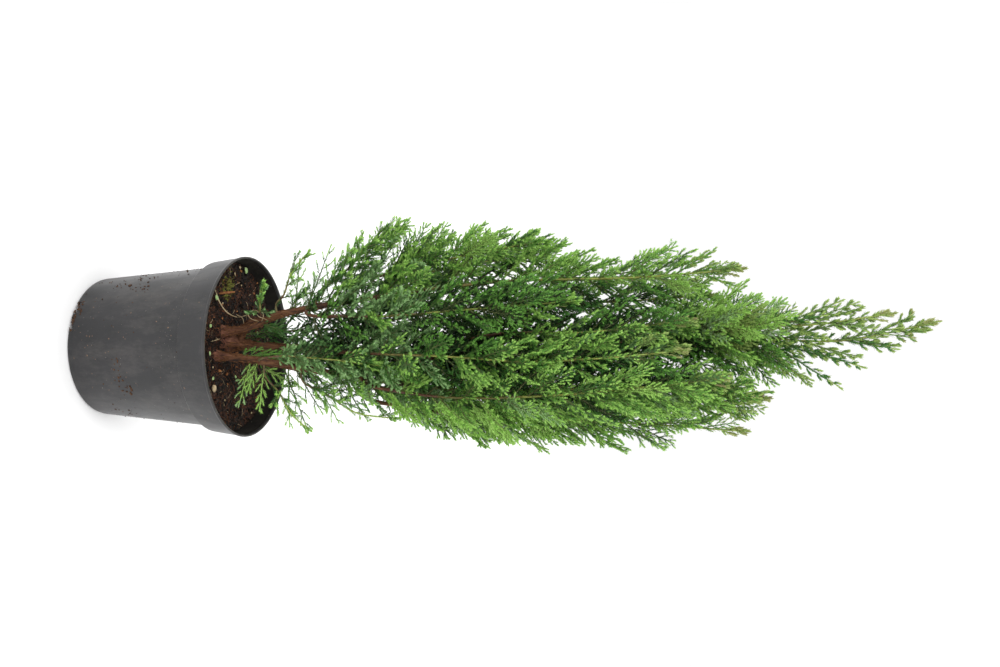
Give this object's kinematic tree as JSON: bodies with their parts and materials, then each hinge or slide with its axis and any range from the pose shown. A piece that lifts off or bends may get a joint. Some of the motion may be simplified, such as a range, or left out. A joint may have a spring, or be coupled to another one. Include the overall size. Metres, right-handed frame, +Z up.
{
  "type": "potted lawson cypress",
  "caption": "Young evergreen cypress with upright feathery plumes on reddish-brown stems, planted in a round dark grey nursery pot with a collar at its rim.",
  "frame": {"origin": "middle of the pot's flat underside", "axes": "+Z up along the plant, -Y towards the side that the picture shows, +X to that view's right"},
  "size_m": [0.1628, 0.1493, 0.5765],
  "materials": {
    "pot_plastic": "dark grey moulded plastic, satin, dusty with soil specks",
    "compost": "moist dark brown compost with fibres and bark crumbs",
    "bark": "thin fibrous reddish-brown bark",
    "foliage": "soft mid green awl-shaped needles, paler at the tips"
  },
  "bodies": {
    "root": {"bough_back": "bark", "bough_back_left": "bark", "bough_back_outer_left": "bark", "bough_back_outer_right": "bark", "bough_back_right": "bark", "bough_front": "bark", "bough_front_left": "bark", "bough_front_left_low": "bark", "bough_front_middle": "bark", "bough_front_right": "bark", "bough_inner_left": "bark", "bough_inner_right": "bark", "bough_left": "bark", "bough_left_outer": "bark", "bough_low_back": "bark", "bough_low_front": "bark", "bough_low_left": "bark", "bough_low_right": "bark", "bough_mid_left": "bark", "bough_mid_right": "bark", "bough_right": "bark", "bough_right_outer": "bark", "foliage_back": "foliage", "foliage_back_left": "foliage", "foliage_back_outer_left": "foliage", "foliage_back_outer_right": "foliage", "foliage_back_right": "foliage", "foliage_front": "foliage", "foliage_front_left": "foliage", "foliage_front_left_low": "foliage", "foliage_front_middle": "foliage", "foliage_front_right": "foliage", "foliage_inner_left": "foliage", "foliage_inner_right": "foliage", "foliage_left": "foliage", "foliage_left_outer": "foliage", "foliage_low_back": "foliage", "foliage_low_front": "foliage", "foliage_low_left": "foliage", "foliage_low_right": "foliage", "foliage_mid_left": "foliage", "foliage_mid_right": "foliage", "foliage_right": "foliage", "foliage_right_outer": "foliage", "foliage_second_top": "foliage", "foliage_sprig": "foliage", "foliage_top": "foliage", "pot": "pot_plastic", "soil": "compost", "trunk": "bark"}
  },
  "joints": []
}
